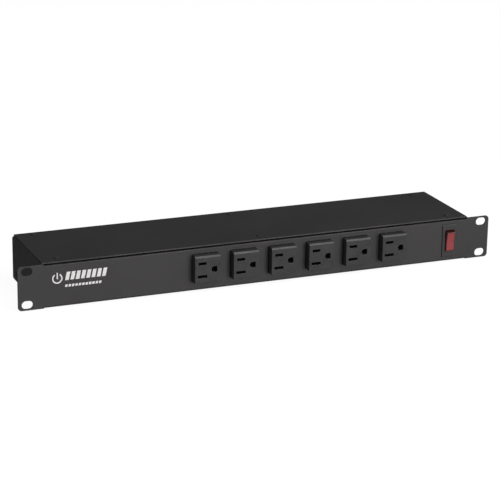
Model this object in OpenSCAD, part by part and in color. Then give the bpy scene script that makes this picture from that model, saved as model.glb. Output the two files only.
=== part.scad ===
// Rack power strip: a one-unit steel case with rack ears, six single grounded
// outlets in a row and a lighted rocker switch on its front.
// Millimetres. X runs along the panel, Y to the rear, Z up. The origin is the
// centre of the four rack slots, on the back face of the ears.

/* [Rack panel] */
// Width over both mounting ears
panel_w = 482.6; // [480:0.1:484]
// Height of the ears
panel_h = 42.3; // [41.5:0.1:43.6]
// Sheet thickness of the front panel
panel_t = 1.5; // [1.2:0.1:2]
// Width of the middle section, which has flanges bent to the rear
channel_w = 433.2; // [430:0.1:436]
// Height over those flanges
channel_h = 39.6; // [38:0.1:42]
// Depth of those flanges, from the front face
flange_d = 20; // [16:1:24]
// Outside radius of the flange bends
flange_r = 0.8; // [0.5:0.1:3.5]
// Corner radius of the ears
ear_r = 3.5; // [2:0.5:4]
// Distance between the slot columns
slot_dx = 465.1; // [465:0.1:465.2]
// Distance between the slot rows
slot_dz = 31.75; // [31.7:0.01:31.8]
// Length of a rack slot, end to end
slot_len = 10.6; // [9:0.1:11]
// Width of a rack slot
slot_wid = 7.6; // [6.5:0.1:8]

/* [Case] */
// Width of the case behind the ears
case_w = 438.9; // [438:0.1:440]
// Height over the pan and the cover sheet
case_h = 44.2; // [43.8:0.1:44.4]
// Depth from the front face to the back of the case
case_d = 94.2; // [90:0.1:100]
// Outside radius of the pan's bends
pan_r = 1.6; // [1.2:0.1:2]
// Set-back of the cover's front edge from the front face
cover_setback = 1.4; // [1.2:0.1:2.5]
// Inset of the cover's side edges from the case's sides
cover_inset = 1.7; // [0.2:0.1:3]
// Set-back of the pan's bottom front edge from the front face
pan_setback = 4.2; // [4:0.1:8]
// Distance of the outer cover screws from the middle
screw_x = 200.3; // [195:0.1:205]
// Distance of the front cover screws from the front face
screw_front = 11.9; // [10:0.1:14]
// Distance of the rear cover screws from the back of the case
screw_rear = 7.1; // [6:0.1:9]

/* [Outlets] */
// Number of outlets
outlet_count = 6; // [1:1:6]
// Distance between outlets
outlet_pitch = 38.8; // [36:0.1:40]
// Middle of the first outlet
outlet_x = -59.9; // [-62:0.1:-58]
// Height of the outlets' middle
outlet_z = 1.5; // [-1:0.1:2]
// Width of an outlet's face
outlet_w = 25.6; // [25:0.1:26.5]
// Height of an outlet's face
outlet_h = 26.7; // [26:0.1:27.5]
// How far the face stands out of the panel
outlet_out = 8.5; // [6:0.1:10]
// Bevel along the face's top edge
outlet_bevel = 1.4; // [0.5:0.1:2]

/* [Switch] */
// Middle of the switch
switch_x = 198.1; // [196:0.1:200]
// Width of the switch bezel
bezel_w = 16.2; // [15:0.1:17]
// Height of the switch bezel
bezel_h = 33.2; // [32:0.1:34]
// Thickness of the switch bezel
bezel_t = 1.1; // [1:0.1:2]
// Swing of the rocker to each side of its middle position, in degrees
rocker_swing = 5; // [5:0.5:8]

/* [Cord entry] */
// Middle of the cord gland on the back of the case
gland_x = 150; // [100:1:170]
// Radius of the gland's bore
gland_bore_r = 5; // [4:0.1:5.5]

/* [Hidden] */
$fn = 48;

steel_black = [0.16, 0.16, 0.165];
plastic_black = [0.1, 0.1, 0.1];
plastic_red = [0.75, 0.15, 0.15];
steel_bare = [0.7, 0.7, 0.72];
brass_yellow = [0.8, 0.66, 0.35];

front_y = -panel_t;                        // front face of the panel
back_y = front_y + case_d;                 // back of the case
skin = (case_h - panel_h) / 2;             // sheet thickness of the pan and the cover
flange_z = panel_h / 2;                    // top of the flanges, where the cover lies
bottom_z = -case_h / 2;                    // underside of the case
cover_front = front_y + cover_setback;
row_front = front_y + screw_front;         // front row of cover screws
row_rear = back_y - screw_rear;            // rear row of cover screws
screw_xs = [-screw_x, 0, screw_x];
side_screw_y = back_y - 11.4;
side_screw_z = -14.3;
side_flange = 9;                           // width of the pan's top flanges
corner_gap = 0.15;                         // seam between the pan's folded walls
rear_flange = 14;
thread_r = 1.45;                           // small machine screws
tapped_r = 1.5;
clear_r = 1.7;
pad_r = 4;                                 // spacer pads round the front screws

outlet_face_y = front_y - outlet_out;
outlet_body_d = 16;                        // back of an outlet housing
outlet_wall = 3;                           // thickness of an outlet's face
back_cap_t = 2.5;
blade_x = -5.5;                            // blade slots, from an outlet's middle
ground_x = 6.4;                            // ground hole, from an outlet's middle
hole_z = -0.4;                             // middle of the hole pattern
blade_dz = 6.35;                           // from there to a blade slot
line_z = outlet_z + hole_z + blade_dz;
neutral_z = outlet_z + hole_z - blade_dz;
ground_z = outlet_z + hole_z;
shoulder_t = 2.2;
retainer_t = 1.2;
bus_t = 0.8;
bus_h = 5;
bus_y = 20;                                // front of the line and neutral buses
ground_bus_y = 25;
ground_tail_dz = -2;                       // a ground contact's tail, below the pin
tail_w = 4;                                // contact tails, which pass through the buses
tail_t = 0.8;
tail_gap = 0.15;
bus_start = outlet_x + blade_x - 6;
bus_end = 160;
outlets = [for (i = [0 : outlet_count - 1]) outlet_x + i * outlet_pitch];
studs = [for (i = [0 : outlet_count]) outlet_x + (i - 0.5) * outlet_pitch];

bezel_y = front_y - bezel_t;
pivot_y = front_y + 3.5;                   // rocker hinge
rocker_w = 9.4;
rocker_half = 9.9;                         // half length of the rocker's face
rocker_dish = 0.9;                         // how far its ends stand out of its middle
rocker_mid = 6.4;                          // its middle, in front of the hinge
pin_r = 1.5;
lever_y = pivot_y + 10;                    // contact lever hinge
lever_t = 0.8;
switch_back = 20;                          // back of the switch housing
tab_w = 6.3;
tab_t = 0.8;
tab_end = 30;
tab_dz = 8;
plunger_y = 7.3;                           // middle of the plunger's round tip, from the hinge
lever_bead_r = 1;                          // round bead that the contact lever rocks on
contact_dz = 6.3;                          // contact button, below the lever's hinge
button_h = 0.4;
contact_y = lever_y + lever_t / 2 + button_h + 0.3 + contact_dz * sin(rocker_swing);
stud_at = [185, 70];                       // ground stud on the pan's bottom
lug_z = -17;                               // underside of the ground lug
lug_t = 0.9;

// A rectangle with round corners, in the middle
module round_rect(w, h, r) {
    square([w - 2 * r, h], center = true);
    square([w, h - 2 * r], center = true);
    for (x = [-1, 1], y = [-1, 1])
        translate([x * (w / 2 - r), y * (h / 2 - r)]) circle(r);
}

// A slot with round ends
module slot(length, width) {
    square([length - width, width], center = true);
    for (x = [-1, 1])
        translate([x * (length - width) / 2, 0]) circle(width / 2);
}

// Extrudes an outline drawn in Y and Z along X, about x = 0
module along_x(length) {
    rotate([90, 0, 90]) linear_extrude(length, center = true) children();
}

// Extrudes an outline drawn in X and Z from y0 to y1
module along_y(y0, y1) {
    translate([0, y1, 0]) rotate([90, 0, 0]) linear_extrude(y1 - y0) children();
}

// A round bar along Y
module bar_y(r, y0, y1) {
    along_y(y0, y1) circle(r);
}

// A C-shaped sheet outline, open to the right
module channel(depth, height, thick, r) {
    difference() {
        translate([(depth + r) / 2, 0]) round_rect(depth + r, height, r);
        translate([(depth + r) / 2 + thick, 0])
            round_rect(depth + r, height - 2 * thick, max(r - thick, 0.3));
        translate([depth, -height]) square([2 * r, 2 * height]);
    }
}

// Cross recess of a screw head
module cross_recess(size, depth) {
    for (a = [0, 90])
        rotate([0, 0, a]) translate([-size / 2, -0.3, -depth]) cube([size, 0.6, depth + 1]);
}

// Pan head screw, its head on z = 0 and its shank below
module pan_screw(shank) {
    difference() {
        union() {
            cylinder(h = 0.6, r = 2.8);
            translate([0, 0, 0.6]) cylinder(h = 0.5, r1 = 2.8, r2 = 1.9);
            translate([0, 0, -shank]) cylinder(h = shank, r = thread_r);
        }
        translate([0, 0, 1.1]) cross_recess(2.6, 0.7);
    }
}

// Flat head screw, the top of its head on z = 0
module flat_screw(shank) {
    difference() {
        union() {
            translate([0, 0, -skin]) cylinder(h = skin, r1 = thread_r, r2 = thread_r + skin);
            translate([0, 0, -shank]) cylinder(h = shank, r = thread_r);
        }
        cross_recess(2.2, 0.6);
    }
}

// A round tube swept along points, with the start and end faces square to it
module wire(points, r, sides = 10) {
    last = len(points) - 1;
    function unit(v) = v / norm(v);
    function heading(i) = unit(points[min(i + 1, last)] - points[max(i - 1, 0)]);
    function side(i) = unit(cross(heading(i), [0.13, 0.21, 0.97]));
    function ring(i) = [for (k = [0 : sides - 1])
        let (a = 360 * k / sides, s = side(i), u = cross(s, heading(i)))
        points[i] + r * (cos(a) * s + sin(a) * u)];
    verts = [for (i = [0 : last]) each ring(i)];
    walls = [for (i = [0 : last - 1], k = [0 : sides - 1])
        let (n = (k + 1) % sides)
        [i * sides + k, i * sides + n, (i + 1) * sides + n, (i + 1) * sides + k]];
    start = [for (k = [sides - 1 : -1 : 0]) k];
    end = [for (k = [0 : sides - 1]) last * sides + k];
    polyhedron(verts, concat(walls, [start, end]), convexity = 4);
}

// Points along a smooth curve through the corners of a route
function smooth(c, steps = 6) = [each [for (i = [0 : len(c) - 2], s = [0 : steps - 1])
    let (t = s / steps, a = c[max(i - 1, 0)], b = c[i], d = c[i + 1], e = c[min(i + 2, len(c) - 1)])
    0.5 * ((2 * b) + (d - a) * t + (2 * a - 5 * b + 4 * d - e) * t * t
        + (3 * b - a - 3 * d + e) * t * t * t)], c[len(c) - 1]];

module front_panel() {
    color(steel_black) difference() {
        union() {
            translate([0, front_y, 0]) along_x(channel_w) channel(flange_d, channel_h, panel_t, flange_r);
            along_y(front_y, 0) difference() {
                round_rect(panel_w, panel_h, ear_r);
                square([channel_w, panel_h + 1], center = true);
            }
            along_y(front_y, 0) square([channel_w + 4, channel_h - 2 * flange_r - 2], center = true);
            // Spacer pads between the flanges and the cover or the pan
            for (x = screw_xs, z = [0, 1])
                mirror([0, 0, z]) translate([x, row_front, channel_h / 2 - 0.1])
                    cylinder(h = flange_z - channel_h / 2 + 0.1, r = pad_r);
        }
        for (x = [-1, 1], z = [-1, 1])
            translate([x * slot_dx / 2, 0, z * slot_dz / 2])
                along_y(front_y - 1, 1) slot(slot_len, slot_wid);
        for (x = outlets)
            translate([x, 0, outlet_z])
                along_y(front_y - 1, 1) round_rect(outlet_w + 0.4, outlet_h + 0.4, 0.5);
        translate([switch_x, 0, 0]) along_y(front_y - 1, 1) round_rect(13.8, 28.6, 1);
        for (x = screw_xs) {
            translate([x, row_front, 0]) cylinder(h = panel_h, r = tapped_r);
            translate([x, row_front, -panel_h]) cylinder(h = panel_h, r = tapped_r);
        }
    }
}

module base_pan() {
    pan_h = flange_z - bottom_z;
    mid_z = (flange_z + bottom_z) / 2;
    wall_x = case_w / 2 - skin;
    color(steel_black) difference() {
        union() {
            // Bottom and side walls, with the side walls' top flanges
            along_y(0, back_y - pan_r) translate([0, mid_z]) difference() {
                round_rect(case_w, pan_h, pan_r);
                round_rect(case_w - 2 * skin, pan_h - 2 * skin, pan_r - skin);
                translate([-case_w / 2 + side_flange, 0])
                    square([case_w - 2 * side_flange, pan_h]);
            }
            // Rear ends of the side walls
            for (x = [-wall_x - skin, wall_x])
                translate([x, back_y - 2 * pan_r, bottom_z + pan_r])
                    cube([skin, 2 * pan_r, pan_h - 2 * pan_r]);
            // Rear wall, folded up from the bottom, with its top flange
            translate([0, back_y, mid_z]) mirror([0, 1, 0])
                along_x(2 * (wall_x - corner_gap)) channel(rear_flange, pan_h, skin, pan_r);
            // Tabs of the rear wall inside the side walls
            for (x = [-wall_x + corner_gap, wall_x - corner_gap - skin])
                translate([x, back_y - 17, bottom_z + 4]) cube([skin, 17 - skin / 2, pan_h - 8]);
        }
        // The bottom starts behind the panel's front face
        translate([-case_w, -1, bottom_z - 1]) cube([2 * case_w, 1 - panel_t + pan_setback, 6]);
        // The side walls' top flanges start behind the panel's upper flange
        translate([-wall_x + 0.7, -1, flange_z - 2 * skin])
            cube([2 * wall_x - 1.4, flange_d, 3 * skin]);
        // Gap between the side flanges and the rear flange
        for (x = [-1, 1])
            translate([x * (wall_x - 4) - 5, back_y - rear_flange - 1.5, flange_z - 2 * skin])
                cube([10, 1.5, 3 * skin]);
        for (x = screw_xs) {
            translate([x, row_rear, 0]) cylinder(h = case_h, r = tapped_r);
            translate([x, row_front, bottom_z - 0.5]) cylinder(h = 3, r = thread_r + 0.05);
            translate([x, row_front, bottom_z])
                cylinder(h = skin, r1 = thread_r + skin + 0.05, r2 = thread_r + 0.05);
        }
        for (x = [-1, 1])
            translate([x * wall_x, side_screw_y, side_screw_z])
                rotate([0, 90, 0]) cylinder(h = 8, r = tapped_r, center = true);
        translate([gland_x, 0, 0]) bar_y(8.1, back_y - 3, back_y + 1);
    }
}

module top_cover() {
    color(steel_black) difference() {
        translate([cover_inset - case_w / 2, cover_front, flange_z])
            cube([case_w - 2 * cover_inset, back_y - cover_front, skin]);
        for (x = screw_xs, y = [row_front, row_rear])
            translate([x, y, flange_z - 1]) cylinder(h = skin + 2, r = clear_r);
    }
}

module cover_screws() {
    color(steel_black) for (x = screw_xs, y = [row_front, row_rear])
        translate([x, y, case_h / 2]) pan_screw(6);
}

module bottom_screws() {
    color(steel_black) for (x = screw_xs)
        translate([x, row_front, bottom_z]) mirror([0, 0, 1]) flat_screw(6);
}

module side_screws() {
    color(steel_black) for (x = [-1, 1])
        translate([x * case_w / 2, side_screw_y, side_screw_z]) rotate([0, x * 90, 0]) pan_screw(5);
}

module panel_studs() {
    color(steel_bare) for (x = studs)
        translate([x, 0, outlet_z]) bar_y(thread_r, 0, 9);
}

module outlet_retainer() {
    length = (outlet_count - 1) * outlet_pitch + 2 * outlet_pitch * 0.5 + 12;
    middle = outlet_x + (outlet_count - 1) * outlet_pitch / 2;
    color(steel_bare) difference() {
        translate([middle, 0, outlet_z])
            along_y(shoulder_t, shoulder_t + retainer_t) round_rect(length, 32, 2);
        for (x = outlets)
            translate([x, 0, outlet_z])
                along_y(0, 10) round_rect(outlet_w + 0.6, outlet_h + 0.6, 1);
        for (x = studs)
            translate([x, 0, outlet_z]) bar_y(clear_r, 0, 10);
    }
}

module retainer_nuts() {
    y0 = shoulder_t + retainer_t;
    color(steel_bare) for (x = studs)
        translate([x, 0, outlet_z]) difference() {
            along_y(y0, y0 + 2.4) circle(3.18, $fn = 6);
            bar_y(thread_r + 0.05, 0, 10);
        }
}

// Places a piece at an outlet
module at_outlet(i) {
    translate([outlet_x + i * outlet_pitch, 0, outlet_z]) children();
}

module outlet_housing(i) {
    top = outlet_h / 2;
    back = outlet_body_d;
    edge = 0.4;
    color(plastic_black) at_outlet(i) difference() {
        union() {
            along_x(outlet_w) polygon([
                [outlet_face_y, top - outlet_bevel], [outlet_face_y + outlet_bevel, top],
                [back, top], [back, -top],
                [outlet_face_y + edge, -top], [outlet_face_y, -top + edge]
            ]);
            // Shoulder that bears on the back of the panel
            along_y(0, shoulder_t) square([outlet_w + 4.4, outlet_h + 4.2], center = true);
        }
        // Pockets for the three contacts, open at the back
        translate([blade_x, 0, hole_z + blade_dz])
            along_y(outlet_face_y + outlet_wall, back + 1) square([8.4, 6], center = true);
        translate([blade_x, 0, hole_z - blade_dz])
            along_y(outlet_face_y + outlet_wall, back + 1) square([9.6, 6], center = true);
        translate([ground_x, 0, hole_z])
            along_y(outlet_face_y + outlet_wall, back + 1) square([7.6, 8.4], center = true);
        // Holes in the face: short live slot, long neutral slot, ground hole
        translate([blade_x, 0, hole_z + blade_dz])
            along_y(outlet_face_y - 1, 0) square([7.9, 2.6], center = true);
        translate([blade_x, 0, hole_z - blade_dz])
            along_y(outlet_face_y - 1, 0) square([9.6, 2.7], center = true);
        translate([ground_x, 0, hole_z]) along_y(outlet_face_y - 1, 0) {
            circle(2.75);
            translate([0, -2.75]) square([2.9, 5.5]);
        }
    }
}

module outlet_back(i) {
    color(plastic_black) at_outlet(i) difference() {
        along_y(outlet_body_d, outlet_body_d + back_cap_t)
            round_rect(outlet_w, outlet_h, 0.8);
        for (p = [[blade_x, blade_dz], [blade_x, -blade_dz], [ground_x, ground_tail_dz]])
            translate([p[0], 0, hole_z + p[1]])
                along_y(outlet_body_d - 1, outlet_body_d + back_cap_t + 1)
                    square([tail_w + 2 * tail_gap, tail_t + 2 * tail_gap], center = true);
    }
}

// Two spring leaves that pinch a blade, on a base with a tail to the bus
module blade_contact(width, tail_back) {
    leaf = [[13.6, 1.7], [6, 1.7], [0, 0.55], [-2.5, 0.55], [-6, 1.6]];
    outer = [for (i = [len(leaf) - 1 : -1 : 0]) leaf[i] + [0, 0.6]];
    along_x(width) {
        polygon(concat(leaf, outer));
        mirror([0, 1]) polygon(concat(leaf, outer));
        translate([13.4, -2.3]) square([0.8, 4.6]);
    }
    along_y(14, tail_back) square([tail_w, tail_t], center = true);
}

module line_contact(i) {
    color(brass_yellow) at_outlet(i) translate([blade_x, 0, hole_z + blade_dz])
        blade_contact(6.4, bus_y + 2.5);
}

module neutral_contact(i) {
    color(brass_yellow) at_outlet(i) translate([blade_x, 0, hole_z - blade_dz])
        blade_contact(7.6, bus_y + 2.5);
}

// Two flat leaves beside the ground pin, on a base with a tail
module ground_contact(i) {
    color(brass_yellow) at_outlet(i) translate([ground_x, 0, hole_z]) {
        for (z = [-1, 1])
            translate([0, 0, z * 2.7]) along_y(-5, 14) square([4.6, 0.7], center = true);
        along_y(13.4, 14.2) square([4.6, 6.1], center = true);
        translate([0, 0, ground_tail_dz])
            along_y(14, ground_bus_y + 2.5) square([tail_w, tail_t], center = true);
    }
}

// A flat bus with a slot for each contact's tail
module bus(y0, z, tail_x, end) {
    color(brass_yellow) difference() {
        translate([bus_start, y0, z - bus_h / 2]) cube([end - bus_start, bus_t, bus_h]);
        for (x = outlets)
            translate([x + tail_x, y0, z])
                along_y(-1, 2) square([tail_w + 2 * tail_gap, tail_t + 2 * tail_gap], center = true);
    }
}

module line_bus() {
    bus(bus_y, line_z, blade_x, bus_end);
}

module neutral_bus() {
    bus(bus_y, neutral_z, blade_x, bus_end);
}

module ground_bus() {
    bus(ground_bus_y, ground_z + ground_tail_dz, ground_x, bus_end);
}

// Folded fibre sheet between the buses and the cord space
module bus_barrier() {
    color("dimgray") translate([(bus_start + bus_end) / 2 - 3, 30.5, outlet_z])
        mirror([0, 1, 0]) along_x(bus_end - bus_start) channel(8, 32, 0.6, 1);
}

module switch_housing() {
    cutout_w = 13.6;
    cutout_h = 28.4;
    color(plastic_black) translate([switch_x, 0, 0]) difference() {
        union() {
            along_y(bezel_y, front_y) round_rect(bezel_w, bezel_h, 1);
            along_y(front_y - 0.1, switch_back) round_rect(cutout_w, cutout_h, 1);
            // Snap wedges behind the panel
            for (s = [0, 1])
                mirror([0, 0, s]) along_x(7) polygon([
                    [0.2, cutout_h / 2 - 0.5], [0.2, cutout_h / 2 + 0.9],
                    [6, cutout_h / 2 + 0.05], [6, cutout_h / 2 - 0.5]
                ]);
        }
        along_y(bezel_y - 1, switch_back - 2)
            square([rocker_w + 0.4, 2 * rocker_half + 1.6], center = true);
        // Hinge bores
        translate([0, pivot_y, 0]) rotate([0, 90, 0])
            cylinder(h = cutout_w + 2, r = pin_r + 0.05, center = true);
        for (z = [-tab_dz, 0, tab_dz])
            translate([0, 0, z]) along_y(switch_back - 3, switch_back + 1)
                square([tab_w + 0.2, tab_t + 0.2], center = true);
    }
}

// Turns a piece about the rocker hinge, top outwards
module on_rocker() {
    translate([switch_x, pivot_y, 0]) rotate([rocker_swing, 0, 0]) children();
}

module rocker() {
    face = rocker_mid + rocker_dish;
    color(plastic_red) on_rocker() {
        difference() {
            along_x(rocker_w) polygon([
                [-rocker_mid, 0], [-face, rocker_half], [1, rocker_half + 0.5], [2.6, 4],
                [2.6, -4], [1, -rocker_half - 0.5], [-face, -rocker_half]
            ]);
            along_x(rocker_w - 2.4) polygon([
                [-rocker_mid + 1.3, 0], [-face + 1.4, rocker_half - 1.2], [3, rocker_half - 0.8],
                [3, -rocker_half + 0.8], [-face + 1.4, -rocker_half + 1.2]
            ]);
        }
        // Guide tube of the spring plunger
        difference() {
            bar_y(2.4, -rocker_mid + 1, 4);
            bar_y(1.45, -2, 5);
        }
        // Hinge pins
        for (x = [-1, 1])
            translate([x * (rocker_w / 2 + 0.6), 0, 0]) rotate([0, 90, 0])
                cylinder(h = 2.4, r = pin_r, center = true);
    }
}

module rocker_plunger() {
    color(steel_bare) on_rocker() {
        bar_y(1.4, -1.9, plunger_y);
        translate([0, plunger_y, 0]) sphere(1.4);
    }
}

module indicator_lamp() {
    color("orange") on_rocker() translate([0, -2.6, 6.2]) rotate([0, 90, 0])
        cylinder(h = 5.6, r = 1.5, center = true);
}

module contact_lever() {
    color(brass_yellow) translate([switch_x, lever_y, 0]) rotate([-rocker_swing, 0, 0]) {
        cube([4.4, lever_t, 15], center = true);
        rotate([0, 90, 0]) cylinder(h = 4.4, r = lever_bead_r, center = true);
        // Contact button at the end that closes the circuit
        translate([0, 0, -contact_dz]) bar_y(1.3, 0, lever_t / 2 + button_h);
    }
}

// A flat terminal that leaves the back of the switch at height z
module tab(z, y0) {
    color(steel_bare) translate([switch_x, 0, z])
        along_y(y0, tab_end) square([tab_w, tab_t], center = true);
}

// The fixed contact stands in front of its terminal
module switch_line_tab() {
    tab(-tab_dz, contact_y + 0.9);
    color(steel_bare) translate([switch_x, 0, -6.8]) {
        bar_y(1.5, contact_y, contact_y + 1);
        along_y(contact_y + 0.9, contact_y + 1.7) square([5, 4], center = true);
    }
}

// The lever's bead rests in a round seat at the front of this terminal
module switch_load_tab() {
    tab(0, lever_y + 2.5);
    color(steel_bare) translate([switch_x, lever_y, 0]) difference() {
        along_x(4.4) translate([0.75, -1.6]) square([2, 3.2]);
        rotate([0, 90, 0]) cylinder(h = 6, r = lever_bead_r + 0.1, center = true);
    }
}

module switch_lamp_tab() {
    tab(tab_dz, switch_back - 4);
}

// A wire with a flat push-on terminal at its start
module lead(route, r) {
    wire(smooth(route), r);
    translate(route[0] + [0, -4, -0.3]) cube([7.4, 9, 0.9], center = true);
}

module load_wire() {
    color("black") lead([
        [switch_x, 31, 1.2], [switch_x, 37, 1], [190, 44, -1], [176, 42, 2], [166, 34, 6],
        [160, 26, line_z], [156, 22.6, line_z], [150, 22.6, line_z]
    ], 1.6);
}

module lamp_wire() {
    color("white") lead([
        [switch_x, 31, tab_dz + 1.2], [switch_x, 39, 9], [186, 50, 6], [170, 48, -4], [163, 36, -8],
        [159, 27, neutral_z], [156, 22.8, neutral_z], [150, 22.8, neutral_z]
    ], 1.4);
}

// Ends in a ring lug on the ground stud
module ground_wire() {
    bus_z = ground_z + ground_tail_dz;
    color("green") {
        wire(smooth([
            [stud_at[0], 62.5, lug_z + 1.8], [181, 56, -15], [171, 53, -14], [163, 47, -10],
            [160.5, 38, -4], [160, 31.5, bus_z], [157, 27.8, bus_z], [150, 27.6, bus_z]
        ]), 1.6);
        translate([stud_at[0], stud_at[1], lug_z]) difference() {
            union() {
                cylinder(h = lug_t, r = 4);
                translate([-2, -10, 0]) cube([4, 8, lug_t]);
            }
            translate([0, 0, -1]) cylinder(h = 3, r = 2.1);
        }
    }
}

module ground_stud() {
    foot = bottom_z + skin;
    color(brass_yellow) translate([stud_at[0], stud_at[1], foot]) {
        cylinder(h = 11, r = 2);
        cylinder(h = lug_z - foot - 0.05, r = 3.6, $fn = 6);
    }
}

module ground_nut() {
    color(brass_yellow) translate([stud_at[0], stud_at[1], lug_z + lug_t + 0.05]) difference() {
        cylinder(h = 3.2, r = 4.04, $fn = 6);
        translate([0, 0, -1]) cylinder(h = 6, r = 2.05);
    }
}

module cord_gland() {
    color(plastic_black) translate([gland_x, 0, 0]) difference() {
        union() {
            bar_y(7.9, back_y - 11, back_y + 10);
            along_y(back_y, back_y + 5) circle(12.7, $fn = 6);
        }
        bar_y(gland_bore_r, back_y - 12, back_y + 12);
    }
}

module gland_cap() {
    color(plastic_black) translate([gland_x, 0, 0]) rotate([-90, 0, 0]) rotate_extrude()
        translate([0, back_y + 5.1]) difference() {
            union() {
                translate([0, 0]) square([10.6, 5.5]);
                intersection() {
                    translate([0, 5.5]) circle(10.6);
                    translate([0, 5.5]) square([10.6, 5.4]);
                }
            }
            translate([-1, -1]) square([1 + 7.95, 6.2]);
            translate([-1, -1]) square([1 + gland_bore_r, 14]);
        }
}

module gland_locknut() {
    color(plastic_black) translate([gland_x, 0, 0]) difference() {
        along_y(back_y - skin - 5, back_y - skin) circle(12.7, $fn = 6);
        bar_y(7.95, back_y - 12, back_y + 1);
    }
}

front_panel();
base_pan();
top_cover();
cover_screws();
bottom_screws();
side_screws();
panel_studs();
outlet_retainer();
retainer_nuts();
outlet_housing(0);  // outlet_housing_1
outlet_housing(1);  // outlet_housing_2
outlet_housing(2);  // outlet_housing_3
outlet_housing(3);  // outlet_housing_4
outlet_housing(4);  // outlet_housing_5
outlet_housing(5);  // outlet_housing_6
outlet_back(0);  // outlet_back_1
outlet_back(1);  // outlet_back_2
outlet_back(2);  // outlet_back_3
outlet_back(3);  // outlet_back_4
outlet_back(4);  // outlet_back_5
outlet_back(5);  // outlet_back_6
line_contact(0);  // line_contact_1
line_contact(1);  // line_contact_2
line_contact(2);  // line_contact_3
line_contact(3);  // line_contact_4
line_contact(4);  // line_contact_5
line_contact(5);  // line_contact_6
neutral_contact(0);  // neutral_contact_1
neutral_contact(1);  // neutral_contact_2
neutral_contact(2);  // neutral_contact_3
neutral_contact(3);  // neutral_contact_4
neutral_contact(4);  // neutral_contact_5
neutral_contact(5);  // neutral_contact_6
ground_contact(0);  // ground_contact_1
ground_contact(1);  // ground_contact_2
ground_contact(2);  // ground_contact_3
ground_contact(3);  // ground_contact_4
ground_contact(4);  // ground_contact_5
ground_contact(5);  // ground_contact_6
line_bus();
neutral_bus();
ground_bus();
bus_barrier();
switch_housing();
rocker();
rocker_plunger();
indicator_lamp();
contact_lever();
switch_line_tab();
switch_load_tab();
switch_lamp_tab();
load_wire();
lamp_wire();
ground_wire();
ground_stud();
ground_nut();
cord_gland();
gland_cap();
gland_locknut();
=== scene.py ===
"""Looks of the rack power strip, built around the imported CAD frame."""

import math

import bmesh
import bpy
from mathutils import Matrix, Vector
from mathutils.bvhtree import BVHTree


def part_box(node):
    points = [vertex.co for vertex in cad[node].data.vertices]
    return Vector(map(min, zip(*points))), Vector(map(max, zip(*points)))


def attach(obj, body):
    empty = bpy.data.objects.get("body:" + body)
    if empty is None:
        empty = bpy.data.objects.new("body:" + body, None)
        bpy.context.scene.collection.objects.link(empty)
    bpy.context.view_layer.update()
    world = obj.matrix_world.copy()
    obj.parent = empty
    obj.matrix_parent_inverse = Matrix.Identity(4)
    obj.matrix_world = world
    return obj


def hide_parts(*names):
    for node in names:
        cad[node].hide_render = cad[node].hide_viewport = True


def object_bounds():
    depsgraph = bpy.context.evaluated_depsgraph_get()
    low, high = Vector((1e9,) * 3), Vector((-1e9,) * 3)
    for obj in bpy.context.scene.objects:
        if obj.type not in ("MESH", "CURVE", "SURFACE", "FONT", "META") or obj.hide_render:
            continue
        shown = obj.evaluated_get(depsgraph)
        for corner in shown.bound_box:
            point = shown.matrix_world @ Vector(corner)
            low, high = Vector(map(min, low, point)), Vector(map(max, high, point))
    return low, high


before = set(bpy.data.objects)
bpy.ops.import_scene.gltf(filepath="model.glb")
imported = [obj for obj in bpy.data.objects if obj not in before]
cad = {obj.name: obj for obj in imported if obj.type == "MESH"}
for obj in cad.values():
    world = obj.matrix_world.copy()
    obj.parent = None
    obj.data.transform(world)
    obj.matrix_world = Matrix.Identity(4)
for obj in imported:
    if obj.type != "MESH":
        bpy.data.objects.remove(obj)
cad_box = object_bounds()
scene = bpy.context.scene
MM = 0.001
OUTLETS = range(1, 7)


# ---------------------------------------------------------------- materials

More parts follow.
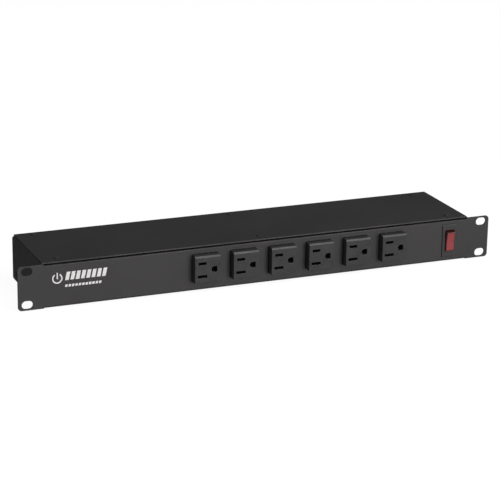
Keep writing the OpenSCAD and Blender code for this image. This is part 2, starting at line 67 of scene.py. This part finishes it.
class Tree:
    """A material's node tree, with short calls for the nodes used here."""

    def __init__(self, name):
        self.material = bpy.data.materials.new(name)
        self.material.use_nodes = True
        self.nodes = self.material.node_tree.nodes
        self.links = self.material.node_tree.links
        self.shader = self.nodes["Principled BSDF"]
        self.place = self.add("ShaderNodeTexCoord").outputs["Object"]

    def add(self, kind, inputs=(), **settings):
        """A new node, with a link or a constant for each input."""
        made = self.nodes.new(kind)
        for key, value in settings.items():
            setattr(made, key, value)
        for key, value in dict(inputs).items():
            if isinstance(value, bpy.types.NodeSocket):
                self.links.new(value, made.inputs[key])
            else:
                made.inputs[key].default_value = value
        return made

    def set(self, **sockets):
        """Constants straight on the shader's sockets."""
        for key, value in sockets.items():
            self.shader.inputs[key.replace("_", " ")].default_value = value

    def join(self, socket, value):
        """Links a node's output to one of the shader's sockets."""
        self.links.new(value, self.shader.inputs[socket])

    def noise(self, scale, detail=2.0, rough=0.5, stretch=None):
        place = self.place
        if stretch:
            place = self.add("ShaderNodeMapping", {"Vector": place, "Scale": stretch}).outputs[0]
        return self.add("ShaderNodeTexNoise", {"Vector": place, "Scale": scale, "Detail": detail,
                                               "Roughness": rough}).outputs[0]

    def spread(self, value, low, high, start=0.35, end=0.65):
        """A 0 to 1 value, widened to run from low to high."""
        return self.add("ShaderNodeMapRange", {
            0: value, 1: start, 2: end, 3: low, 4: high}).outputs[0]

    def math(self, how, a, b):
        return self.add("ShaderNodeMath", {0: a, 1: b}, operation=how).outputs[0]

    def mix(self, share, a, b):
        """The colour a where share is 0, b where it is 1."""
        made = self.add("ShaderNodeMix", data_type="RGBA")
        for index, value in ((0, share), (6, a), (7, b)):
            if isinstance(value, bpy.types.NodeSocket):
                self.links.new(value, made.inputs[index])
            else:
                made.inputs[index].default_value = value
        return made.outputs[2]

    def bump(self, *layers):
        """Adds bumps, each (height, strength, depth in metres), one on the other."""
        normal = None
        for height, strength, depth in layers:
            inputs = {"Height": height, "Strength": strength, "Distance": depth}
            if normal:
                inputs["Normal"] = normal
            normal = self.add("ShaderNodeBump", inputs).outputs[0]
        self.join("Normal", normal)

    def edges(self, radius, start=0.04, end=0.3):
        """1 on worn outer and inner edges, 0 on flat faces."""
        round_normal = self.add("ShaderNodeBevel", {"Radius": radius}, samples=4).outputs[0]
        flat_normal = self.add("ShaderNodeNewGeometry").outputs["Normal"]
        dot = self.add("ShaderNodeVectorMath", {0: round_normal, 1: flat_normal},
                       operation="DOT_PRODUCT").outputs["Value"]
        return self.spread(self.math("SUBTRACT", 1.0, dot), 0.0, 1.0, start, end)


WORN = 1.9                                  # how much lighter a worn edge is


def grey(level, warm=0.0):
    """A grey, a little redder where it is warm."""
    return (level * (1 + warm), level, level, 1.0)


def shades(tree, colour, spread, scale, detail=3.0):
    """A colour that drifts a little lighter and darker over the surface."""
    low = tuple(c * (1 - spread) for c in colour[:3]) + (1.0,)
    high = tuple(c * (1 + spread) for c in colour[:3]) + (1.0,)
    return tree.mix(tree.spread(tree.noise(scale, detail), 0, 1), low, high)


def powder_coat(name, rough):
    """Fine textured black powder coat, a little shinier where it is handled."""
    t = Tree(name)
    level, warm = 0.024, 0.03
    worn = t.math("MULTIPLY", t.edges(0.0005), t.spread(t.noise(420, 3), 0.1, 0.6))
    base = shades(t, grey(level, warm), 0.10, 9)
    t.join("Base Color", t.mix(worn, base, grey(level * WORN)))
    grain = t.noise(1500, 2)
    swell = t.noise(420, 2)
    rub = t.spread(t.noise(26, 4, 0.6), rough + 0.06, rough - 0.07)
    t.join("Roughness", t.math("SUBTRACT", rub, t.math("MULTIPLY", worn, 0.12)))
    t.bump((swell, 0.30, 0.00004), (grain, 0.35, 0.00003))
    t.set(Specular_IOR_Level=0.5)
    return t.material


def moulded(name, level, rough, texture, specular=0.4):
    """Black moulded plastic with a spark-eroded texture."""
    t = Tree(name)
    worn = t.math("MULTIPLY", t.edges(0.0004), 0.6)
    t.join("Base Color", t.mix(worn, shades(t, grey(level), 0.08, 40), grey(level * WORN)))
    t.join("Roughness", t.spread(t.noise(90, 3), rough + 0.05, rough - 0.06))
    t.bump((t.noise(1900, 2), texture, 0.00003))
    t.set(Specular_IOR_Level=specular)
    return t.material


def metal(name, colour, rough):
    """Rolled or plated sheet metal with fine drawn lines and dull patches."""
    t = Tree(name)
    tarnish = 0.25
    dull = tuple(c * (1 - tarnish) for c in colour[:3]) + (1.0,)
    t.join("Base Color", t.mix(t.spread(t.noise(130, 4, 0.6), 0, 1), colour, dull))
    lines = t.noise(900, 2, stretch=(0.06, 1.0, 1.0))
    t.join("Roughness", t.spread(lines, rough - 0.07, rough + 0.10))
    t.bump((lines, 0.12, 0.00002))
    t.set(Metallic=1.0)
    return t.material


def insulation(name, colour):
    """Satin PVC wire insulation."""
    t = Tree(name)
    t.join("Base Color", shades(t, colour, 0.08, 160))
    t.join("Roughness", t.spread(t.noise(500, 2), 0.38, 0.52))
    t.bump((t.noise(700, 2), 0.15, 0.00003))
    return t.material


def red_lens(name, deep, bright, rough):
    """Glossy red moulding of the lighted rocker, from its deep to its bright shade; its dark
    copy is painted shade.
    """
    t = Tree(name)
    t.join("Base Color", t.mix(t.spread(t.noise(260, 3), 0, 1), deep, bright))
    t.join("Roughness", t.spread(t.noise(300, 3), rough - 0.05, rough + 0.08))
    t.bump((t.noise(420, 2), 0.05, 0.00003))
    t.set(Coat_Weight=0.2, Coat_Roughness=0.15)
    return t.material


def lamp_glass(name):
    """Clear neon lamp glass with a faint orange glow colour inside."""
    t = Tree(name)
    t.join("Base Color", shades(t, (0.9, 0.62, 0.42, 1.0), 0.06, 300))
    t.join("Roughness", t.spread(t.noise(200), 0.03, 0.10))
    t.set(Transmission_Weight=0.85, IOR=1.5)
    return t.material


def print_ink(name):
    """White screen print, slightly thin in places."""
    t = Tree(name)
    thin = t.spread(t.noise(900, 3), 0, 0.5, 0.45, 0.75)
    t.join("Base Color", t.mix(thin, grey(0.80), grey(0.52)))
    t.join("Roughness", t.spread(t.noise(700), 0.45, 0.6))
    t.bump((t.noise(1500, 2), 0.2, 0.00002))
    return t.material


def fibre(name):
    """Grey vulcanised fibre sheet with a paper-like surface."""
    t = Tree(name)
    t.join("Base Color", shades(t, (0.055, 0.057, 0.062, 1.0), 0.25, 320, 5))
    t.join("Roughness", t.spread(t.noise(240, 4), 0.62, 0.8))
    t.bump((t.noise(1100, 4), 0.3, 0.00005))
    return t.material


COAT = powder_coat("black_powder_coat", 0.5)
SCREW = powder_coat("black_screw_finish", 0.36)
OUTLET = moulded("outlet_plastic", 0.023, 0.33, 0.3, 0.6)
SWITCH = moulded("switch_plastic", 0.026, 0.45, 0.2, 0.5)
NYLON = moulded("gland_nylon", 0.02, 0.46, 0.25)
SEAL = moulded("gland_seal_rubber", 0.012, 0.75, 0.3, 0.25)
# The dark red is painted shade for the rocker's sides and ends; the face red is its plain
# colour.
RED_PAINTED_SHADE = red_lens("red_rocker_painted_shade", (0.042, 0.001, 0.0015, 1.0), (0.062, 0.0015, 0.002, 1.0),
               0.38)
RED_FACE = red_lens("red_rocker_face", (0.260, 0.036, 0.039, 1.0), (0.300, 0.046, 0.049, 1.0),
                    0.3)
LAMP = lamp_glass("lamp_glass")
INK = print_ink("white_print")
ZINC = metal("zinc_plated_steel", (0.58, 0.60, 0.63, 1.0), 0.34)
BRASS = metal("brass_strip", (0.72, 0.50, 0.20, 1.0), 0.30)
DULL_BRASS = metal("dull_brass_bus", (0.17, 0.12, 0.055, 1.0), 0.5)
# Near-black contacts: painted shade for the dark inside of the outlet slots.
CONTACT_PAINTED_SHADE = metal("contact_painted_shade", (0.034, 0.028, 0.021, 1.0), 0.6)
FIBRE = fibre("fibre_sheet")
WIRES = {"load_wire": insulation("black_insulation", grey(0.02)),
         "lamp_wire": insulation("white_insulation", grey(0.72, 0.02)),
         "ground_wire": insulation("green_insulation", (0.03, 0.22, 0.06, 1.0))}


# ---------------------------------------------------------------- mesh tools

def add_piece(name, mesh, material, body="case", stands_for=()):
    """A piece of the visual model: its mesh is in place, so its object sits at the origin."""
    piece = bpy.data.objects.new(name, mesh)
    scene.collection.objects.link(piece)
    mesh.materials.clear()
    mesh.materials.append(material)
    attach(piece, body)
    if stands_for:
        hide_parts(*stands_for)
    return piece


def even_shading(piece, angle=40):
    """Smooth shading that stays flat on flat faces."""
    piece.data.shade_smooth()
    piece.data.set_sharp_from_angle(angle=math.radians(angle))
    flat = piece.modifiers.new("even_normals", "WEIGHTED_NORMAL")
    flat.keep_sharp = True
    flat.weight = 60


WELD = 0.000002                             # points nearer than this are one
FLAT = math.radians(0.6)                    # faces that turn less than this are one
SHARP = math.radians(30)                    # edges that turn more than this are rounded off
STRAY = 1.5                                 # times a rounding's width that is off the surface


def whole_faces(mesh):
    """A CAD mesh with its triangles put back together into whole faces."""
    bm = bmesh.new()
    bm.from_mesh(mesh)
    bmesh.ops.remove_doubles(bm, verts=bm.verts, dist=WELD)
    bmesh.ops.dissolve_limit(bm, angle_limit=FLAT, verts=bm.verts, edges=bm.edges)
    return bm


def both_ends(edge, test):
    """Whether both ends of an edge are at points (in mm) that pass the test."""
    return all(test(*(v.co / MM)) for v in edge.verts)


def looks_ahead(face):
    """Whether a face looks to the front."""
    return face.normal.y < -0.9


def front_outline(edge):
    """Whether an edge lies between a face that looks to the front and one that does not."""
    return sum(looks_ahead(face) for face in edge.link_faces) == 1


def softened(node, width, material, body="case", wide=None):
    """Stands for a CAD node: the same shape with its sharp edges rounded off.

    wide is (test, width, steps) for edges that are rounded off more than the rest. No point
    leaves the node's box, and where a bevel runs far off the CAD surface it is put back."""
    bm = whole_faces(cad[node].data)
    surface = BVHTree.FromBMesh(bm)
    if wide:
        test, wide_width, wide_steps = wide
        bmesh.ops.bevel(bm, geom=[e for e in bm.edges if test(e)], offset=wide_width,
                        segments=wide_steps, profile=0.5, affect="EDGES",
                        clamp_overlap=False, miter_outer="SHARP")
    sharp = [e for e in bm.edges if len(e.link_faces) == 2 and e.calc_face_angle(0) > SHARP]
    bmesh.ops.bevel(bm, geom=sharp, offset=width, segments=2, profile=0.5, affect="EDGES",
                    clamp_overlap=False, miter_outer="SHARP", loop_slide=True)
    low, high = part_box(node)
    for vert in bm.verts:
        nearest, _, _, gap = surface.find_nearest(vert.co)
        if gap > STRAY * width and not wide:
            vert.co = nearest
        vert.co = Vector(min(max(vert.co[i], low[i]), high[i]) for i in range(3))
    name = node + "_finish"
    piece = add_piece(name, as_mesh(bm, name), material, body, [node])
    even_shading(piece)
    return piece


def extruded(outlines, y_front, y_back):
    """Closed plates along Y from outlines in X and Z, all in mm."""
    bm = bmesh.new()
    for outline in outlines:
        face = bm.faces.new([bm.verts.new(Vector((x, y_front, z)) * MM) for x, z in outline])
        sides = bmesh.ops.extrude_face_region(bm, geom=[face])["geom"]
        moved = [v for v in sides if isinstance(v, bmesh.types.BMVert)]
        bmesh.ops.translate(bm, verts=moved, vec=Vector((0, y_back - y_front, 0)) * MM)
    bmesh.ops.recalc_face_normals(bm, faces=bm.faces)
    return bm


def as_mesh(bm, name):
    """A mesh from a bmesh, which is freed."""
    mesh = bpy.data.meshes.new(name)
    bm.to_mesh(mesh)
    bm.free()
    return mesh


# ---------------------------------------------------------------- case and small parts

NEAR = 0.01                                 # mm within which a point is at a place
softened("front_panel", 0.2 * MM, COAT)
softened("base_pan", 0.15 * MM, COAT)
cover_low, cover_high = (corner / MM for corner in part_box("top_cover"))


def at_cover_front(_x, y, z):
    """Whether a point lies on the upper front edge of the cover."""
    return y < cover_low.y + NEAR and z > cover_high.z - NEAR


softened("top_cover", 0.15 * MM, COAT,
         wide=(lambda edge: both_ends(edge, at_cover_front), 0.9 * MM, 1))
for node_name in ("cover_screws", "bottom_screws", "side_screws"):
    softened(node_name, 0.08 * MM, SCREW)
for i in OUTLETS:
    softened(f"outlet_housing_{i}", 0.18 * MM, OUTLET)
bezel_low, bezel_high = (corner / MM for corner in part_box("switch_housing"))
switch_x = (bezel_low.x + bezel_high.x) / 2
WINDOW_X, WINDOW_Z = 5.5, 12                # mm from the switch's middle, past its window


def at_bezel_rim(x, y, z):
    """Whether a point lies on the bezel's outer front edges, outside the rocker's window."""
    return y < bezel_low.y + NEAR and (abs(x - switch_x) > WINDOW_X or abs(z) > WINDOW_Z)


softened("switch_housing", 0.2 * MM, SWITCH,
         wide=(lambda edge: both_ends(edge, at_bezel_rim), 0.8 * MM, 4))
# The rocker starts in the dark red of painted shade; only its large front faces get the plain
# red.
rocker = softened("rocker", 0.15 * MM, RED_PAINTED_SHADE, body="rocker",
                  wide=(front_outline, 0.85 * MM, 4))
rocker.data.materials.append(RED_FACE)
SMALL_FACE = 20 * MM ** 2
for face in rocker.data.polygons:
    if looks_ahead(face) and face.area > SMALL_FACE:
        face.material_index = 1
softened("cord_gland", 0.3 * MM, NYLON)
softened("gland_locknut", 0.3 * MM, NYLON)

PLAIN = {"panel_studs": ZINC, "outlet_retainer": ZINC, "retainer_nuts": ZINC,
         "line_bus": DULL_BRASS, "neutral_bus": DULL_BRASS, "ground_bus": DULL_BRASS,
         "bus_barrier": FIBRE, "rocker_plunger": ZINC, "indicator_lamp": LAMP,
         "contact_lever": BRASS, "switch_line_tab": BRASS, "switch_load_tab": BRASS,
         "switch_lamp_tab": BRASS, "ground_stud": BRASS, "ground_nut": BRASS, **WIRES}
for i in OUTLETS:
    PLAIN[f"outlet_back_{i}"] = OUTLET
    # The contacts take the near-black painted shade of the slots.
    for kind in ("line", "neutral", "ground"):
        PLAIN[f"{kind}_contact_{i}"] = CONTACT_PAINTED_SHADE
for node_name, material in PLAIN.items():
    slots = cad[node_name].data.materials
    slots.clear()
    slots.append(material)


# ---------------------------------------------------------------- cord gland's cap and seal

def uncut(_angle, _radius):
    """Takes nothing off a turned solid."""
    return 0.0


def turned(profile, middle, steps, cut=uncut):
    """A closed solid turned about a line along Y: profile is (radius, y) in mm, and cut
    says how many millimetres to take off a radius at an angle."""
    bm = bmesh.new()
    rings = []
    for radius, y in profile:
        around = []
        for i in range(steps):
            angle = 2 * math.pi * i / steps
            r = radius - cut(angle, radius)
            point = Vector((r * math.cos(angle), y, r * math.sin(angle))) + middle
            around.append(bm.verts.new(point * MM))
        rings.append(around)
    for here, after in zip(rings, rings[1:] + rings[:1]):
        for i in range(steps):
            j = (i + 1) % steps
            bm.faces.new((here[i], here[j], after[j], after[i]))
    bmesh.ops.recalc_face_normals(bm, faces=bm.faces)
    return bm


cap_low, cap_high = (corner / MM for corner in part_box("gland_cap"))
cap_r = (cap_high.x - cap_low.x) / 2
cap_middle = Vector(((cap_low.x + cap_high.x) / 2, 0, (cap_low.z + cap_high.z) / 2))
root, nose = cap_low.y, cap_high.y          # the cap's ends: at the wall and at the cord
GRIP = 5.5                                  # length of the ribbed part
THREAD = 5.2                                # depth of the hole for the gland's neck
SEAL_DEPTH = 3                              # how far the seal's seat lies behind the end
SEAL_R, BORE_R, NECK_R = 6.3, 5.0, 7.95
GRIP_RIBS, GROOVE = 18, 0.55                # number of ribs, and depth between them
RIB_TOP, RIB_SLOPE = 1.35, 2.2
SHOULDER = 0.45                             # step from the grip to the dome
DOME_STEPS = 8
SLACK = 0.02                                # between the seal and the cap
seal_back = nose - SEAL_DEPTH
grip_end = root + GRIP
neck_end = root + THREAD


def grip_groove(angle, radius):
    """Flat grooves round the cap's grip, with narrow ribs where the wave is high."""
    if radius < cap_r - NEAR:
        return 0.0
    wave = 0.5 + 0.5 * math.cos(GRIP_RIBS * angle)
    return GROOVE * min(1.0, max(0.0, RIB_TOP - RIB_SLOPE * wave))


def dome_radius(y):
    """Radius of the round that the cap's end is part of."""
    return math.sqrt(cap_r ** 2 - (y - grip_end) ** 2)


dome_end = nose - 0.5
dome_at = [grip_end + (dome_end - grip_end) * i / DOME_STEPS for i in range(1, DOME_STEPS + 1)]
cap_profile = [(cap_r - 0.7, root), (cap_r - 0.5, root + 0.3), (cap_r, root + 0.5),
               (cap_r, grip_end - 0.5), (cap_r - SHOULDER, grip_end - 0.1)]
cap_profile += [(dome_radius(y) - SHOULDER * (nose - y) / (nose - grip_end), y) for y in dome_at]
cap_profile += [(dome_radius(nose) - 0.15, nose - 0.2), (dome_radius(nose) - 0.5, nose),
                (SEAL_R + 0.6, nose), (SEAL_R + 0.15, nose - 0.15), (SEAL_R, nose - 0.6),
                (SEAL_R, seal_back), (BORE_R, seal_back), (BORE_R, neck_end),
                (NECK_R, neck_end), (NECK_R, root)]
cap_mesh = as_mesh(turned(cap_profile, cap_middle, 144, grip_groove), "cap")
cap = add_piece("gland_cap_finish", cap_mesh, NYLON,
                stands_for=["gland_cap"])
even_shading(cap, 30)

seal_profile = [(BORE_R, seal_back + SLACK), (SEAL_R - SLACK, seal_back + SLACK),
                (SEAL_R - SLACK, nose - 1.3), (SEAL_R - 0.35, nose - 0.95),
                (BORE_R + 0.4, nose - 0.95), (BORE_R, nose - 1.3)]
seal = add_piece("gland_seal", as_mesh(turned(seal_profile, cap_middle, 72), "seal"), SEAL)
even_shading(seal)


# ---------------------------------------------------------------- printed mark

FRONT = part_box("front_panel")[0].y / MM
INK_T = 0.03                                # half of the print's thickness, mm
LEAN = 0.22                                 # sideways shift for each mm of height


def ring(middle, outer, inner, start, end, steps=28):
    """A band round a middle point between two angles, in degrees from the right."""
    angles = [math.radians(start + (end - start) * i / steps) for i in range(steps + 1)]
    return [(middle[0] + r * math.cos(a), middle[1] + r * math.sin(a))
            for r, turn in ((outer, angles), (inner, angles[::-1])) for a in turn]


def bar(x, z, width, height, lean=LEAN):
    """A bar that leans to the right, from its lower left corner."""
    return [(x, z), (x + width, z), (x + width + lean * height, z + height),
            (x + lean * height, z + height)]


# X and Z on the panel, sizes and spacings, all in mm
RING_AT, RING_OUT, RING_IN = (-203.9, 6.3), 4.9, 3.7
RING_GAP = 32                               # half of the gap at the ring's top, degrees
STROKE_Z, STROKE = 5.9, (1.2, 6.0)
BARS, BAR_X, BAR_Z, BAR_STEP, BAR = 8, -196.6, 3.9, 5.05, (3.5, 7.9)
DASHES, DASH_X, DASH_Z, DASH_STEP, DASH = 11, -196.8, -2.6, 3.25, (2.3, 2.3)
marks = [ring(RING_AT, RING_OUT, RING_IN, 90 + RING_GAP, 450 - RING_GAP),
         bar(RING_AT[0] - STROKE[0] / 2, STROKE_Z, *STROKE, 0)]
marks += [bar(BAR_X + BAR_STEP * i, BAR_Z, *BAR) for i in range(BARS)]
marks += [bar(DASH_X + DASH_STEP * i, DASH_Z, *DASH) for i in range(DASHES)]
mark_mesh = as_mesh(extruded(marks, FRONT - INK_T, FRONT + INK_T), "printed_mark")
add_piece("printed_mark", mark_mesh, INK)


# ---------------------------------------------------------------- stage

CAMERA_AT = Vector((-0.70197, -1.65318, 0.59252))
YAW, PITCH, ROLL = -0.3948, 0.3135, -0.0157         # radians
LENS, SENSOR = 143.334, 36                  # mm


def camera_turn(yaw, pitch, roll):
    """Looks along +Y, pitched down, then yawed about the vertical."""
    level = Matrix.Rotation(math.radians(90), 3, "X")
    return (Matrix.Rotation(yaw, 3, "Z") @ Matrix.Rotation(-pitch, 3, "X")
            @ Matrix.Rotation(roll, 3, "Y") @ level)


camera = bpy.data.objects.new("camera", bpy.data.cameras.new("camera"))
scene.collection.objects.link(camera)
camera.matrix_world = Matrix.Translation(CAMERA_AT) @ camera_turn(YAW, PITCH, ROLL).to_4x4()
camera.data.lens = LENS
camera.data.sensor_width = SENSOR
camera.data.clip_start = 0.05
camera.data.clip_end = 100
camera.data.shift_x = -0.001
camera.data.shift_y = 0.001
scene.camera = camera


WARM = (1.03, 1.0, 1.005)


def soft_light(name, place, width, height, power):
    """A soft rectangular light that looks at the object."""
    data = bpy.data.lights.new(name, "AREA")
    data.shape = "RECTANGLE"
    data.size, data.size_y = width, height
    data.energy = power
    data.color = WARM
    lamp = bpy.data.objects.new(name, data)
    scene.collection.objects.link(lamp)
    lamp.location = place
    lamp.rotation_euler = (-Vector(place)).to_track_quat("-Z", "Y").to_euler()


soft_light("overhead", (0.75, -1.1, 1.9), 1.8, 1.2, 17.5)
soft_light("left_fill", (-2.2, -0.9, 0.6), 1.2, 1.0, 5)
soft_light("front_key", (0.8, -2.8, 0.45), 1.4, 1.0, 38)

# The studio is brighter towards the front right than behind the object
BRIGHT_SIDE = (0.3, -1.0, 0.0)
BEHIND, AHEAD = -1.0, 1.1                   # a direction's dot product with the bright side
DIM, BRIGHT = 0.09, 0.47
world = bpy.data.worlds.new("studio")
world.use_nodes = True
world_nodes, world_links = world.node_tree.nodes, world.node_tree.links
sky = world_nodes["Background"]
sky.inputs["Color"].default_value = WARM + (1.0,)
towards = world_nodes.new("ShaderNodeVectorMath")
towards.operation = "DOT_PRODUCT"
towards.inputs[1].default_value = BRIGHT_SIDE
ramp = world_nodes.new("ShaderNodeMapRange")
for index, value in enumerate((BEHIND, AHEAD, DIM, BRIGHT), start=1):
    ramp.inputs[index].default_value = value
direction = world_nodes.new("ShaderNodeTexCoord")
world_links.new(direction.outputs["Generated"], towards.inputs[0])
world_links.new(towards.outputs["Value"], ramp.inputs[0])
world_links.new(ramp.outputs[0], sky.inputs["Strength"])
scene.world = world


def stage_piece(name, mesh, colour, glow):
    """A plain pale surface that is not part of the object, with a glow of its own."""
    tree = Tree(name + "_paint")
    tree.set(Base_Color=colour, Roughness=0.9, Specular_IOR_Level=0.1,
             Emission_Color=grey(1.0), Emission_Strength=glow)
    mesh.materials.append(tree.material)
    piece = bpy.data.objects.new(name, mesh)
    scene.collection.objects.link(piece)
    return piece


HALF_FLOOR = 9                              # m
FLOOR_GAP = 0.3 * MM                        # keeps the floor off the pan's bottom
BACKDROP_R = HALF_FLOOR * 0.98
corners = [(x * HALF_FLOOR, y * HALF_FLOOR, 0) for x, y in ((-1, -1), (1, -1), (1, 1), (-1, 1))]
floor_mesh = bpy.data.meshes.new("floor")
floor_mesh.from_pydata(corners, [], [(0, 1, 2, 3)])
floor = stage_piece("floor", floor_mesh, grey(0.16), 0.93)
floor.location.z = cad_box[0].z - FLOOR_GAP
floor.visible_glossy = False
floor.visible_diffuse = False

backdrop_mesh = bpy.data.meshes.new("backdrop")
shell = bmesh.new()
bmesh.ops.create_uvsphere(shell, u_segments=48, v_segments=24, radius=BACKDROP_R)
shell.to_mesh(backdrop_mesh)
shell.free()
backdrop = stage_piece("backdrop", backdrop_mesh, grey(0.0), 1.0)
for ray in ("diffuse", "glossy", "transmission", "shadow", "volume_scatter"):
    setattr(backdrop, "visible_" + ray, False)

scene.view_settings.view_transform = "Standard"
